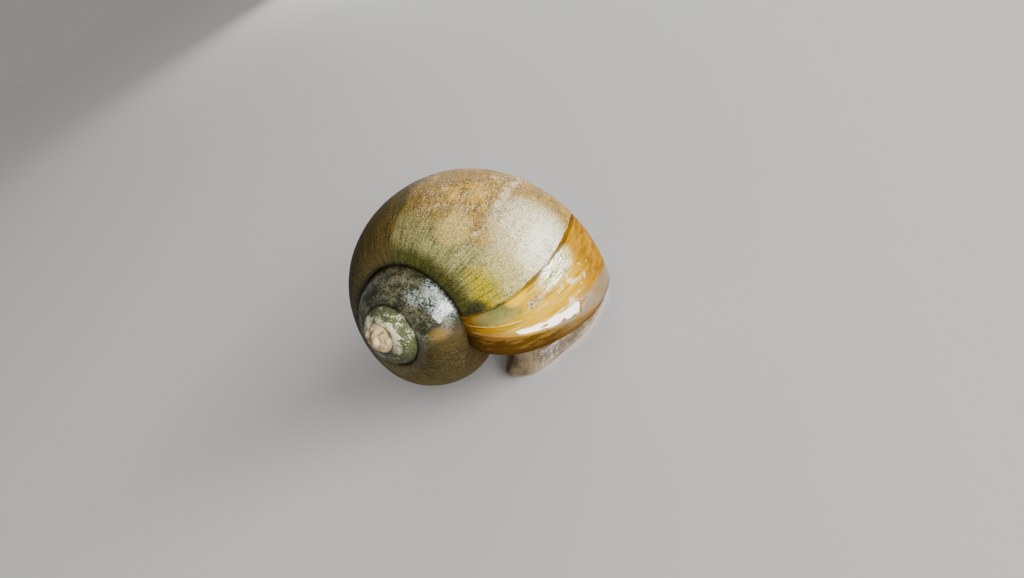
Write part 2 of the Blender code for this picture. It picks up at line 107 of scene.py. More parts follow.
# %% [markdown]
# ## Tools used on every piece
#
# Blender's operators act on whatever is selected, so each step begins by picking out one piece and
# nothing else, and leaves edit mode as soon as it is done. Modifiers are applied as soon as they are
# set, because the next step builds on the finished mesh.

# %% Picking out pieces and applying modifiers
def pick(*pieces):
    """Select these pieces only, and make the first one active."""
    bpy.ops.object.select_all(action="DESELECT")
    for piece in pieces:
        piece.select_set(True)
    bpy.context.view_layer.objects.active = pieces[0]


def start(name, add, **settings):
    """Add a primitive, with nothing else selected, and name it."""
    bpy.ops.object.select_all(action="DESELECT")
    add(**settings)
    piece = bpy.context.object
    piece.name = piece.data.name = name
    return piece


def edit_all(piece):
    """Go into edit mode with the whole mesh selected."""
    pick(piece)
    bpy.ops.object.mode_set(mode="EDIT")
    bpy.ops.mesh.select_all(action="SELECT")


def leave_edit():
    bpy.ops.object.mode_set(mode="OBJECT")


def face_outward(piece):
    edit_all(piece)
    bpy.ops.mesh.normals_make_consistent(inside=False)
    leave_edit()


def settle(piece):
    """Apply a piece's place, turn and size to its mesh."""
    pick(piece)
    bpy.ops.object.transform_apply(location=True, rotation=True, scale=True)


def modify(piece, kind, **settings):
    """Add a modifier, set it up and apply it."""
    pick(piece)
    modifier = piece.modifiers.new(kind.lower(), kind)
    for name, value in settings.items():
        setattr(modifier, name, value)
    bpy.ops.object.modifier_apply(modifier=modifier.name)


SHARP_EDGE = 50
SHARP_SOFT_EDGE = 80


def smooth(piece, degrees=SHARP_EDGE):
    """Round shading, except over edges sharper than an angle."""
    pick(piece)
    bpy.ops.object.shade_smooth_by_angle(angle=math.radians(degrees))


def corners(piece):
    """The places of a mesh's vertices, one row each."""
    places = np.empty(len(piece.data.vertices) * 3)
    piece.data.vertices.foreach_get("co", places)
    return places.reshape(-1, 3)


def set_corners(piece, places):
    piece.data.vertices.foreach_set("co", np.asarray(places, float).ravel())
    piece.data.update()


def mark(piece, name, values):
    """Store one number a vertex under a name that a finish can read."""
    layer = piece.data.attributes.new(name, "FLOAT", "POINT")
    layer.data.foreach_set("value", np.asarray(values, np.float32))


def marked(piece, name):
    values = np.empty(len(piece.data.vertices), np.float32)
    piece.data.attributes[name].data.foreach_get("value", values)
    return values


def report(piece):
    faces = len(piece.data.polygons)
    low, high = corners(piece).min(0) / MM, corners(piece).max(0) / MM
    print(piece.name, faces, "faces,", low.round(1), "to", high.round(1), "mm")


# %% [markdown]
# ## How the finishes are written
#
# A finish is a network of nodes, and drawing it by hand takes many small steps. Here a socket is
# wrapped in a class that knows plus, minus and times, so that a mask can be written as a sum, and each
# operation adds its Math node. Every other node is made by one method. Colours are mixed by a Mix node,
# because a Math node would turn them grey. A finish is then painted in layers, as on a real model.

# %% Sums of sockets
class Flow:
    """A socket's value, which can be used in sums."""

    def __init__(self, finish, socket):
        self.finish = finish
        self.socket = socket

    def math(self, operation, *values):
        sockets = dict(enumerate(values))
        return self.finish.node("Math", {"operation": operation}, sockets)

    def __add__(self, other):
        return self.math("ADD", self, other)

    def __sub__(self, other):
        return self.math("SUBTRACT", self, other)

    def __rsub__(self, other):
        return self.math("SUBTRACT", other, self)

    def __mul__(self, other):
        return self.math("MULTIPLY", self, other)

    def __truediv__(self, other):
        return self.math("DIVIDE", self, other)

    __radd__ = __add__
    __rmul__ = __mul__

    def rise(self, low, high):
        """0 below low and 1 above high, with a smooth rise; low may be the larger."""
        settings = {"interpolation_type": "SMOOTHSTEP"}
        return self.finish.node("MapRange", settings, {"Value": self, "From Min": low, "From Max": high})

    def between(self, low, high, soft):
        """1 between two values, fading over a width."""
        return self.rise(low - soft, low + soft) * self.rise(high + soft, high - soft)

    def about(self, width):
        """A noise moved to lie on both sides of 0, over a width."""
        return (self - 0.5) * width


class Finish:
    """A material, with short ways to add nodes to it."""

    def __init__(self, name):
        self.material = bpy.data.materials.new(name)
        self.material.use_nodes = True
        self.tree = self.material.node_tree
        self.shader = self.tree.nodes["Principled BSDF"]

    def feed(self, socket, value):
        if isinstance(value, Flow):
            self.tree.links.new(value.socket, socket)
        elif socket.type == "RGBA":
            socket.default_value = (*value, 1)
        else:
            socket.default_value = value

    def node(self, kind, settings, sockets, out=0):
        """Add a node: its settings first, then what goes into its sockets, by number or name."""
        made = self.tree.nodes.new("ShaderNode" + kind)
        for name, value in settings.items():
            setattr(made, name, value)
        for key, value in sockets.items():
            self.feed(made.inputs[key], value)
        return Flow(self, made.outputs[out])

    def set(self, **values):
        """Feed the shader's own sockets, given with _ for a space."""
        for name, value in values.items():
            self.feed(self.shader.inputs[name.replace("_", " ")], value)

    def mark(self, name):
        return self.node("Attribute", {"attribute_name": name}, {}, out="Fac")

    def place(self):
        return self.node("TexCoord", {}, {}, out="Object")

    def vector(self, x, y, z=0.0):
        return self.node("CombineXYZ", {}, {0: x, 1: y, 2: z})

    def noise(self, where, scale, detail, roughness):
        sockets = {"Vector": where, "Scale": scale, "Detail": detail, "Roughness": roughness}
        return self.node("TexNoise", {}, sockets)

    def cells(self, where, scale):
        """Distance to the nearest of many scattered points."""
        return self.node("TexVoronoi", {}, {"Vector": where, "Scale": scale}, out="Distance")

    def blend(self, share, first, second):
        """The first colour where share is 0, the second where it is 1."""
        return self.node("Mix", {"data_type": "RGBA"}, {0: share, 6: first, 7: second}, out=2)

    def paint(self, share, colour):
        """Lay a colour over what is painted so far."""
        self.colour = self.blend(share, self.colour, colour)

    def dim(self, factor):
        """Make what is painted so far lighter or darker, by a number that varies."""
        sockets = {0: self.colour, "Scale": factor}
        self.colour = self.node("VectorMath", {"operation": "SCALE"}, sockets)

    def bump(self, height, distance, strength, normal=None):
        sockets = {"Height": height, "Distance": distance, "Strength": strength}
        if normal:
            sockets["Normal"] = normal
        return self.node("Bump", {}, sockets)

    def give(self, piece):
        piece.data.materials.clear()
        piece.data.materials.append(self.material)
        self.tell(piece.name)

    def tell(self, part):
        print("painted:", part, "with", len(self.tree.nodes), "nodes so far")


# %% [markdown]
# ## The spiral
#
# A snail builds its shell only at the mouth, and each bit is the same shape as the last, a little
# larger and a little further round. So one outline, turned and scaled about the apex, gives the whole
# shell. The mouth is a leaning oval. Its points are measured from the axis of the coil (radius) and
# down from the apex (depth). The lines of growth aren't straight across the whorl: each point of the
# outline is slid along the spiral by an amount that depends on its depth.

# %% Numbers of the spiral
MOUTH_RADIUS = 20.34 * MM
MOUTH_DEPTH = 30.77 * MM
MOUTH_OUTER_HALF = 11.73 * MM
MOUTH_INNER_HALF = 15.02 * MM
MOUTH_HALF_HEIGHT = 18.63 * MM
MOUTH_LEAN = math.radians(14.1)
GROWTH_PER_TURN = 2.106
BASE_SWELL = 0.031
GROWTH_LINE_SLOPE = -0.261
OLD_LIP_SLOPE = -0.357
OLD_LIP = math.radians(29)
APEX_TURNS = 3.8

# %% Where the shell stands
APEX = Vector((4.758, 28.024, 25.40)) * MM
APEX_RISE = math.radians(22.36)
COIL_TURN = math.radians(163.47)
SHELL_POSE = (Matrix.Translation(APEX)
              @ Matrix.Rotation(APEX_RISE - math.pi / 2, 4, "X")
              @ Matrix.Rotation(COIL_TURN, 4, "Z"))


# %% The mouth's outline
def growth(turn):
    """Size of the shell at an angle before (negative) the lip, as a share of its size there."""
    return GROWTH_PER_TURN ** (turn / TURN)


def outline(angle):
    """Radius and depth of the mouth's outline; 0 is outward and 90 degrees is toward the apex."""
    half = MOUTH_OUTER_HALF if math.cos(angle) > 0 else MOUTH_INNER_HALF
    x = half * math.cos(angle)
    y = MOUTH_HALF_HEIGHT * math.sin(angle)
    radius = MOUTH_RADIUS + x * math.cos(MOUTH_LEAN) - y * math.sin(MOUTH_LEAN)
    depth = MOUTH_DEPTH - x * math.sin(MOUTH_LEAN) - y * math.cos(MOUTH_LEAN)
    swell = math.exp(BASE_SWELL * (depth / MOUTH_DEPTH - 1))
    return Vector((radius * swell, depth * swell))


def pushed_outline(angle, push, nudge=0.01):
    """A point of the outline moved out of it by a distance."""
    along = outline(angle + nudge) - outline(angle - nudge)
    out = Vector((-along.y, along.x)).normalized()
    return outline(angle) + push * out


def on_coil(turn, point, slope=GROWTH_LINE_SLOPE):
    """A point of the outline at a turn, slid along the spiral, in the shell's own frame."""
    turn = turn + slope * (point.y / MOUTH_DEPTH - 1)
    place = Vector((math.cos(-turn) * point.x, math.sin(-turn) * point.x, -point.y))
    return place * growth(turn)


# %% The part of the outline that shows
INNER_LOOP = [outline(math.radians(a)) / GROWTH_PER_TURN for a in range(360)]
SUTURE_CLEARANCE = 0.75 * MM
SUTURE_IS_BETWEEN = range(60, 130)
NAVEL_IS_BEFORE = -60
SEARCH_STEP = 0.5


def nearest_inner(point):
    """Distance to the whorl before, and the angle on its outline that is nearest."""
    away = [(point - q).length for q in INNER_LOOP]
    best = min(range(360), key=away.__getitem__)
    return away[best], best


def free_arc(clearance):
    """First and last angle, in degrees, of the outline that stand clear of the whorl before."""
    def away(angle):
        return nearest_inner(outline(math.radians(angle)))[0]
    first = min(SUTURE_IS_BETWEEN, key=away)
    while away(first) < clearance:
        first -= SEARCH_STEP
    last = NAVEL_IS_BEFORE
    while away(last) > clearance:
        last -= SEARCH_STEP
    return first, last


SUTURE_ANGLE, NAVEL_ANGLE = free_arc(SUTURE_CLEARANCE)
print("the outline shows from", SUTURE_ANGLE, "to", NAVEL_ANGLE, "degrees")

# %% [markdown]
# ## The old shell
#
# Every whorl but the fresh edge is one piece. It could be drawn as a curve with a tapering bevel, but a
# bevel can't lean along the growth lines or leave room for the whorl before. Instead a closed ring, the
# section of a whorl, is extruded, turned and shrunk about the apex, step after step, which is how the
# animal itself grows, only backwards. The section is a crescent: the part of the outline that shows,
# closed by a notch that follows the whorl before.

# %% The section of a whorl
WHORL_SIDES = 60
NOTCH_SIDES = 14
NOTCH_GAP = 0.28 * MM


def crescent():
    """Points of the section, with the angle round the outline that belongs to each."""
    around = np.linspace(SUTURE_ANGLE, NAVEL_ANGLE, WHORL_SIDES + 1)
    points = [outline(math.radians(a)) for a in around]
    near_first = (nearest_inner(points[0])[1] + 180) % 360 - 180
    near_last = nearest_inner(points[-1])[1] - 360
    notch = []
    for a in np.linspace(near_last, near_first, NOTCH_SIDES):
        notch.append(pushed_outline(math.radians(a), NOTCH_GAP * GROWTH_PER_TURN) / GROWTH_PER_TURN)
    back_round = np.linspace(NAVEL_ANGLE, SUTURE_ANGLE, NOTCH_SIDES)
    return points + notch, np.concatenate((around, back_round))


section, section_angles = crescent()
print("section of", len(section), "points")

# %% Wind the ring up to the apex
BODY_STEPS = 100
SPIRE_STEPS = 62
APEX_STEPS = 92


def wind(steps, step):
    """Extrude the selected ring and turn and scale it about the apex, many times."""
    size = growth(step)
    for _ in range(steps):
        bpy.ops.mesh.extrude_edges_move()
        bpy.ops.transform.rotate(value=step, orient_axis="Z", center_override=(0, 0, 0))
        bpy.ops.transform.resize(value=(size,) * 3, center_override=(0, 0, 0))


circle = bpy.ops.mesh.primitive_circle_add
sphere = bpy.ops.mesh.primitive_uv_sphere_add
old_shell = start("old_shell", circle, vertices=len(section), radius=MOUTH_RADIUS)
set_corners(old_shell, [on_coil(-OLD_LIP, p) for p in section])
edit_all(old_shell)
stretches = (BODY_STEPS, OLD_LIP - TURN), (SPIRE_STEPS, -TURN), (APEX_STEPS, (2 - APEX_TURNS) * TURN)
turns = [-OLD_LIP]
for steps, length in stretches:
    wind(steps, length / steps)
    turns += list(np.linspace(turns[-1], turns[-1] + length, steps + 1)[1:])
leave_edit()

places = corners(old_shell).reshape(len(turns), len(section), 3)
check = np.array([on_coil(turns[-1], p) for p in section])
print("rings:", len(turns), "error at the last ring:", abs(places[-1] - check).max() / MM, "mm")

# %% [markdown]
# The old lip, where growth once stopped, leans more than the lines before it, and its edge is chipped.
# So the last rings are slid along the spiral by code, which keeps them on the surface. The ring at the
# apex is drawn together into a rounded tip, and the ring at the old lip is filled. Then the mesh is
# subdivided, and the numbers for turn and angle that each vertex carries are carried over, because
# every colour and every ridge on the shell is laid out in them.

# %% Lean and chip the old lip
LIP_REACH = 0.25
CHIP_DEPTH = 0.012
CHIP_REACH = 0.04


def old_lip_slope(turn):
    """How much more the growth lines lean near the old lip."""
    return (OLD_LIP_SLOPE - GROWTH_LINE_SLOPE) * math.exp(-((turn + OLD_LIP) / LIP_REACH) ** 2)


def slid(place, extra):
    """A point of the shell, in its own frame, moved along the spiral by an angle."""
    return Matrix.Rotation(-extra, 3, "Z") @ Vector(place) * growth(extra)


turn_marks = np.repeat(turns, len(section))
angle_marks = np.tile(section_angles, len(turns))
depths = np.tile([p.y for p in section], len(turns))
places = places.reshape(-1, 3)
for i, (turn, angle, depth) in enumerate(zip(turn_marks, angle_marks, depths)):
    lean = old_lip_slope(turn) * (depth / MOUTH_DEPTH - 1)
    chip = noise.noise((angle / 9, 3, 0)) + 0.6 * noise.noise((angle / 3, 7, 0))
    places[i] = slid(places[i], lean + CHIP_DEPTH * chip * math.exp((turn + OLD_LIP) / CHIP_REACH))
set_corners(old_shell, places)
mark(old_shell, "turn", turn_marks / TURN)
mark(old_shell, "angle", angle_marks)

# %% Close the two ends
EDGE_CREASE = 0.9
TIP_SHRINKS = (0.75, 0.55)
TIP_TURN = -0.05


def select_row(piece, first, count):
    """Select a run of vertices by their order, in edge mode."""
    bpy.ops.object.mode_set(mode="EDIT")
    bpy.ops.mesh.select_mode(type="VERT")
    bpy.ops.mesh.select_all(action="DESELECT")
    leave_edit()
    chosen = np.zeros(len(piece.data.vertices), bool)
    chosen[first:first + count] = True
    piece.data.vertices.foreach_set("select", chosen)
    bpy.ops.object.mode_set(mode="EDIT")
    bpy.ops.mesh.select_mode(type="EDGE")


select_row(old_shell, 0, len(section))
bpy.ops.transform.edge_crease(value=EDGE_CREASE)
bpy.ops.mesh.fill()
leave_edit()

select_row(old_shell, (len(turns) - 1) * len(section), len(section))
tip = on_coil(turns[-1], Vector((MOUTH_RADIUS, MOUTH_DEPTH)))
for shrink in TIP_SHRINKS:
    bpy.ops.mesh.extrude_edges_move()
    bpy.ops.transform.rotate(value=TIP_TURN, orient_axis="Z", center_override=(0, 0, 0))
    bpy.ops.transform.resize(value=(shrink,) * 3, center_override=tip)
bpy.ops.mesh.merge(type="COLLAPSE")
leave_edit()
face_outward(old_shell)

# %% Wear the first whorls down to a knob
KNOB_DEPTH = 3.6 * MM
KNOB_HALF = Vector((3.05, 3.05, 3.15)) * MM
KNOB_BUMP = 0.65 * MM
KNOB_GRAIN = 1.1 * MM
KNOB_TURN = -3.4
KNOB_ANGLE = 20.0

knob_middle = Vector((0, 0, -KNOB_DEPTH))
knob = start("knob", sphere, segments=56, ring_count=28, radius=1, location=knob_middle)
knob.scale = KNOB_HALF
settle(knob)
places = corners(knob)
for i, place in enumerate(places):
    out = (Vector(place) - knob_middle).normalized()
    places[i] = place + out * KNOB_BUMP * noise.noise(Vector(place) / KNOB_GRAIN)
set_corners(knob, places)
mark(knob, "turn", [KNOB_TURN] * len(places))
mark(knob, "angle", [KNOB_ANGLE] * len(places))
pick(old_shell, knob)
bpy.ops.object.join()
modify(old_shell, "SUBSURF", levels=1, render_levels=1)
report(old_shell)

# %% [markdown]
# A shell is never as smooth as its spiral. It has low folds where growth slowed, shallow dents, and on
# the old whorls the outer skin is worn into pits and lumps. These heights are worked out for each
# vertex from its turn and angle, painted into a vertex group as weights, and raised with a Displace
# modifier. A texture in the modifier would do it too, but its folds wouldn't follow the growth lines.

# %% Relief of the old shell
FOLD_HEIGHT = 0.10 * MM
DENT_DEPTH = 0.22 * MM
WEAR_DEPTH = 0.30 * MM
LUMP_HEIGHT = 0.30 * MM
WEAR_STARTS = -0.95
LUMPS_START = -1.75
SMALLEST_RELIEF = 0.25


def raise_by(piece, heights):
    """Move each vertex along its normal by its own height."""
    low, high = float(heights.min()), float(heights.max())
    group = piece.vertex_groups.new(name="height")
    for i, height in enumerate(heights):
        group.add((i,), (height - low) / (high - low), "REPLACE")
    modify(piece, "DISPLACE", vertex_group="height", strength=high - low, mid_level=-low / (high - low))
    piece.vertex_groups.remove(piece.vertex_groups["height"])
    print(piece.name, "is raised from", round(low / MM, 2), "to", round(high / MM, 2), "mm")


def shell_height(turn, angle, place):
    """Height of the relief, which is as large as its whorl, apart from the worn lumps."""
    size = max(SMALLEST_RELIEF, growth(turn * TURN))
    scaled = Vector(place) / (size * MM)
    fold = noise.noise((turn * 75, angle / 70, 1)) + 0.6 * noise.noise((turn * 160, angle / 50, 5))
    dent = noise.noise(scaled / 9) + 0.5 * noise.noise(scaled / 4)
    pits = noise.noise(scaled / 0.9) + noise.noise(scaled / 2.1)
    worn = min(1.0, max(0.0, (WEAR_STARTS - turn) / 0.5))
    lumpy = min(1.0, max(0.0, (LUMPS_START - turn) / 0.4))
    lump = noise.noise(Vector(place) / (1.7 * MM)) + 0.5 * noise.noise(Vector(place) / (0.75 * MM))
    relief = FOLD_HEIGHT * fold + DENT_DEPTH * dent * 0.5 - WEAR_DEPTH * worn * max(0.0, pits)
    return size * relief + LUMP_HEIGHT * lumpy * lump


turn_marks, angle_marks = marked(old_shell, "turn"), marked(old_shell, "angle")
heights = []
for turn, angle, place in zip(turn_marks, angle_marks, corners(old_shell)):
    heights.append(shell_height(float(turn), float(angle), place))
raise_by(old_shell, np.array(heights))

# %% Stand the shell on the floor
def stand(piece):
    """Turn a piece of shell from its own frame to its place, and apply that to its mesh."""
    piece.matrix_world = SHELL_POSE
    settle(piece)


def level_with_floor(piece):
    """Flatten what would reach below the floor."""
    places = corners(piece)
    places[:, 2] = places[:, 2].clip(min=0)
    set_corners(piece, places)


stand(old_shell)
level_with_floor(old_shell)
smooth(old_shell)
report(old_shell)
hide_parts("shell_apex", "shell_spire_whorl", "shell_body_whorl")
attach(old_shell, "root")

# %% [markdown]
# ### The old shell's finish
#
# The outer skin of the shell is horny, from ochre to olive, and drawn out in streaks along the growth
# lines. It is scratched and bleached on the back of the last whorl, green with algae by the suture, and
# nearly black with them on the whorl before. All of this is laid out by turn and angle, so it follows
# the spiral. Only the mottling and the specks are laid out in space.

# %% Colours of the old shell
OCHRE = (0.40, 0.235, 0.040)
DEEP_OCHRE = (0.22, 0.125, 0.025)
VIVID_OCHRE = (0.62, 0.330, 0.030)
OLIVE = (0.17, 0.165, 0.045)
GREY_GREEN = (0.37, 0.33, 0.125)
BUFF = (0.62, 0.46, 0.14)
DARK_OLIVE = (0.085, 0.068, 0.014)
DEEP_OLIVE = (0.034, 0.036, 0.012)
RUST = (0.19, 0.112, 0.022)
CREAM = (0.80, 0.72, 0.34)
GREY_CREAM = (0.92, 0.90, 0.68)
PALE_SHEEN_CREAM = (0.96, 0.90, 0.74)
TAN_CREAM = (0.60, 0.46, 0.20)
LOW_CREAM = (0.50, 0.42, 0.11)
CHALK = (0.84, 0.76, 0.56)
PIT_BROWN = (0.14, 0.095, 0.030)
YELLOW = (0.44, 0.335, 0.003)
MOSS = (0.045, 0.052, 0.007)
BAND_OLIVE = (0.11, 0.105, 0.011)
ALGAE_BLACK = (0.018, 0.020, 0.008)
TAN = (0.155, 0.145, 0.075)
GREY_BLOT_AND_SHEEN = (0.33, 0.38, 0.35)
DARK_BROWN = (0.030, 0.022, 0.008)
LOW_BROWN = (0.055, 0.040, 0.009)
RUST_BROWN = (0.070, 0.040, 0.007)
CLEAN_AMBER = (0.30, 0.170, 0.015)
WORN_TIP = (0.56, 0.53, 0.33)
WORN_PINK = (0.41, 0.280, 0.140)
BRIGHT_ALGAE = (0.07, 0.110, 0.020)

# %% Where its patches lie: turn and angle of the middle, then half the size
VIVID_PATCH = (-0.205, 4), (0.030, 16)
BUFF_PATCH = (-0.192, 34), (0.020, 15)
PALE_FIELD = (-0.106, 2), (0.050, 27)
PALE_SHEEN_PATCH = (-0.101, -4), (0.018, 18)
LOW_PATCH = (-0.100, 36), (0.034, 14)
YELLOW_PATCH = (-0.104, 53), (0.034, 12)
CORNER_PATCH = (-0.088, 68), (0.012, 12)
RUST_PATCH = (-0.298, 28), (0.010, 34)
BLOT_PATCH = (-1.165, 44), (0.030, 13)
PAINTED_SHEEN_PATCH = (-1.115, 14), (0.050, 24)
BELOW_SPIRE = (-0.950, 36), (0.085, 56)
FAINT_PATCH = (-1.010, 30), (0.034, 26)
CLEAN_PATCH = (-1.038, 43), (0.015, 14)


def spot(f, patch, ragged, soft):
    """1 inside an oval patch, with a ragged edge."""
    (turn, angle), (half_turn, half_angle) = patch
    along = (f.turn - turn) / half_turn
    across = (f.angle - angle) / half_angle
    reach = along * along + across * across + ragged.about(2.4)
    return reach.rise(1 + soft, 1 - soft)


# %% The patterns in its colours
def drawn_out(f, along, across, seed, detail, roughness):
    """A noise drawn out along the growth lines."""
    where = f.vector(f.turn * along, f.angle / across, seed)
    return f.noise(where, 1.0, detail, roughness)


f = Finish("old_shell")
f.turn, f.angle, at = f.mark("turn"), f.mark("angle"), f.place()
broad = f.noise(at, 120, 3, 0.55)
ragged = f.noise(at, 380, 6, 0.68)
grain = f.noise(at, 2300, 3, 0.75)
dust = f.noise(at, 4600, 2, 0.6)
streak = drawn_out(f, 240, 34, 0.0, 5, 0.62)
lines = drawn_out(f, 470, 38, 4.0, 3, 0.6)
scratches = drawn_out(f, 900, 7, 2.0, 4, 0.7)
wandered = f.turn + broad.about(0.06)
strayed = f.angle + broad.about(50)
f.tell("patterns")

# %% [markdown]
# The last whorl is built up from the ground colour outward: ochre that turns olive toward the suture,
# the bleached field behind the old lip, the algae along the suture with one yellow patch, and then the
# specks, scrapes and pits that lie over everything.

# %% The last whorl
mottle = ragged * 0.5 + streak * 0.2 + grain * 0.3
f.colour = f.blend(mottle.rise(0.42, 0.58), DEEP_OCHRE, OCHRE)
f.paint(spot(f, VIVID_PATCH, broad, 0.9) * ragged.rise(0.46, 0.56), VIVID_OCHRE)
olive = f.blend((mottle * 0.55 + lines * 0.45).rise(0.42, 0.56), OLIVE, GREY_GREEN)
f.paint(strayed.rise(14, 50), olive)
f.paint(spot(f, BUFF_PATCH, ragged, 0.9) * 0.8, BUFF)

crumbled = ragged * 0.4 + broad * 0.25 + grain * 0.35
pale = f.blend((broad * 0.5 + grain * 0.5).rise(0.42, 0.58), CREAM, GREY_CREAM)
pale = f.blend((ragged * 0.55 + streak * 0.45).rise(0.48, 0.58) * 0.75, pale, TAN_CREAM)
# The brightest part of the pale field is partly its bleached skin and partly a painted sheen.
bright = spot(f, PALE_SHEEN_PATCH, broad * 0.5 + ragged * 0.5, 1.3)
pale = f.blend(bright * (0.5 + 0.4 * ragged.rise(0.42, 0.56)), pale, PALE_SHEEN_CREAM)
f.paint(spot(f, PALE_FIELD, crumbled, 1.0) * 0.95, pale)
f.paint(spot(f, LOW_PATCH, crumbled, 1.0) * 0.85, LOW_CREAM)
yellow = spot(f, YELLOW_PATCH, broad * 0.3 + ragged * 0.7, 1.1)
f.paint(yellow, f.blend(lines.rise(0.36, 0.50), BAND_OLIVE, YELLOW))

band = (f.angle + ragged.about(24) + f.turn.rise(-0.115, -0.088) * 8).rise(60, 74)
f.paint(band * 0.92, f.blend(streak.rise(0.40, 0.62), MOSS, BAND_OLIVE))
f.paint(spot(f, CORNER_PATCH, ragged, 0.9) * 0.9, DEEP_OLIVE)
far = wandered.rise(-0.250, -0.310) * 0.88 + spot(f, RUST_PATCH, ragged, 0.9) * 0.4
f.paint(far.rise(0.0, 1.0), f.blend(streak.rise(0.40, 0.65), DARK_OLIVE, RUST))
f.paint(wandered.rise(-0.32, -0.48) * wandered.rise(-0.85, -0.55) * 0.6, DEEP_OLIVE)
brown = f.blend(lines.rise(0.38, 0.62), DARK_BROWN, LOW_BROWN)
f.paint(wandered.rise(-0.78, -0.93) * 0.85, brown)
f.tell("last whorl")

# %% Scrapes, chalky specks and brown pits over it
bare = (f.angle + ragged.about(60)).rise(50, 20) * (1 - 0.85 * yellow)
scraped = bare * wandered.rise(-0.33, -0.26) * (0.30 + 0.70 * broad.rise(0.42, 0.58))
chips = (f.cells(at, 2300) + ragged.about(0.9)).rise(0.34, 0.20)
f.paint(chips * (0.08 + 0.92 * scraped) * (1 - 0.8 * yellow) * 0.75, CHALK)
f.paint((ragged * 0.8 + grain * 0.2).rise(0.585, 0.64) * scraped * 0.65, CHALK)
stop = (f.turn + 0.163 + ragged.about(0.02)).between(-0.0035, 0.0035, 0.003)
f.paint(stop * ragged.rise(0.44, 0.56) * f.angle.rise(50, 30) * 0.5, CHALK)
pits = (dust * 0.5 + ragged * 0.5).rise(0.47, 0.41)
f.paint(pits * (0.30 + 0.30 * scraped), PIT_BROWN)
f.paint(scratches.rise(0.55, 0.66) * scraped * 0.65, CHALK)
f.paint(scratches.rise(0.46, 0.34) * bare * 0.65, PIT_BROWN)
# Dark freckles, fewer where the sheen is painted on the pale field.
freckles = (dust * 0.45 + grain * 0.55).rise(0.54, 0.44)
f.dim(1 - 0.50 * freckles * (1 - 0.6 * bright))
farther_back = 0.25 + 0.75 * wandered.rise(-0.15, -0.24)
furrows = lines.rise(0.46, 0.36) * f.angle.rise(-10, 40) * farther_back
f.dim(1 - 0.45 * furrows)
f.paint(f.turn.rise(-0.0828, -0.0815) * 0.5, CREAM)
f.tell("scrapes and pits")

# %% The spire
weathered = f.colour
speckled = (ragged * 0.5 + grain * 0.5).rise(0.46, 0.60)
f.colour = f.blend(speckled * 0.8, ALGAE_BLACK, TAN)
# A painted reflection, speckled grey, where the glossy whorl before catches the light; the blot beside
# it is its own grey.
wet = spot(f, PAINTED_SHEEN_PATCH, ragged, 0.7) + spot(f, BLOT_PATCH, ragged, 0.9) * 0.7
grey = wet.rise(0.0, 1.0) * (grain * 0.7 + ragged * 0.3).rise(0.44, 0.55)
f.paint(grey * 0.85, GREY_BLOT_AND_SHEEN)
below = spot(f, BELOW_SPIRE, ragged * 0.5 + broad * 0.5, 0.8)
f.paint(below * 0.95, brown)
lined = ragged * 0.6 + lines * 0.4
rusty = f.blend(lines.rise(0.36, 0.56), LOW_BROWN, RUST_BROWN)
f.paint(spot(f, FAINT_PATCH, lined, 1.2) * 0.75, rusty)
amber = f.blend(lines.rise(0.36, 0.52), LOW_BROWN, CLEAN_AMBER)
f.paint(spot(f, CLEAN_PATCH, lined, 1.8) * 0.75, amber)

on_tip = (f.turn + ragged.about(0.5)).rise(-1.80, -2.05)
on_knob = (f.turn + ragged.about(1.2)).rise(-2.35, -2.8)
worn = f.blend(on_knob, WORN_TIP, WORN_PINK)
worn = f.blend((ragged * 0.6 + dust * 0.4).rise(0.50, 0.60) * 0.6, worn, CHALK)
mossy = ragged * 0.75 + grain * 0.25 + on_knob * 0.12 + f.angle.rise(38, 62) * 0.09
moss = f.blend(grain.rise(0.42, 0.62) * 0.75, ALGAE_BLACK, BRIGHT_ALGAE)
f.paint(on_tip, f.blend(mossy.rise(0.60, 0.53) * 0.92, worn, moss))
f.tell("spire")

# %% The whole finish of the old shell
on_spire = f.turn.rise(-0.97, -1.03)
f.colour = f.blend(on_spire, weathered, f.colour)
f.dim(0.93 + 0.24 * lines)
# Painted shade, dark where the whorl turns down into the groove of the suture.
f.dim(1 - 0.8 * f.angle.rise(83, 90))

near_last_whorl = 0.25 + 0.75 * f.turn.rise(-1.50, -1.28)
wet_spire = on_spire * (1 - 0.5 * on_tip) * (1 - 0.85 * below) * near_last_whorl
wetness = (band * 0.4 * f.turn.rise(-0.20, -0.26) + wet_spire).rise(0.1, 0.9)
smear = (ragged * 0.6 + grain * 0.4).rise(0.40, 0.56)
f.set(Base_Color=f.colour, Roughness=0.62 - 0.22 * wetness + grain.about(0.25))
f.set(Coat_Weight=wetness * (0.25 + 0.75 * smear), Coat_Roughness=0.10, Coat_IOR=1.8)
f.set(Specular_IOR_Level=0.12)
ridges = f.bump(lines * 0.7 + streak * 0.3, 0.10 * MM, 0.6)
f.set(Normal=f.bump(grain * 0.5 + ragged * 0.5 - pits * 0.3, 0.12 * MM, 0.6, ridges))
f.give(old_shell)

# %% [markdown]
# ## The new growth
#
# The fresh edge is thin, wet and wrinkled, and starts a little below the edge of the old lip. It is
# wound in the same way, but from an open strip, and the Solidify modifier then gives it its wall. The
# strip runs on under the old lip, so that no gap shows along the chipped edge.

# %% Wind the fresh edge
FRESH_SIDES = 120
FRESH_STEPS = 84
FRESH_STEP_DOWN = 0.4 * MM
TUCKED_UNDER = math.radians(3)
FRESH_TUCK = 4.0

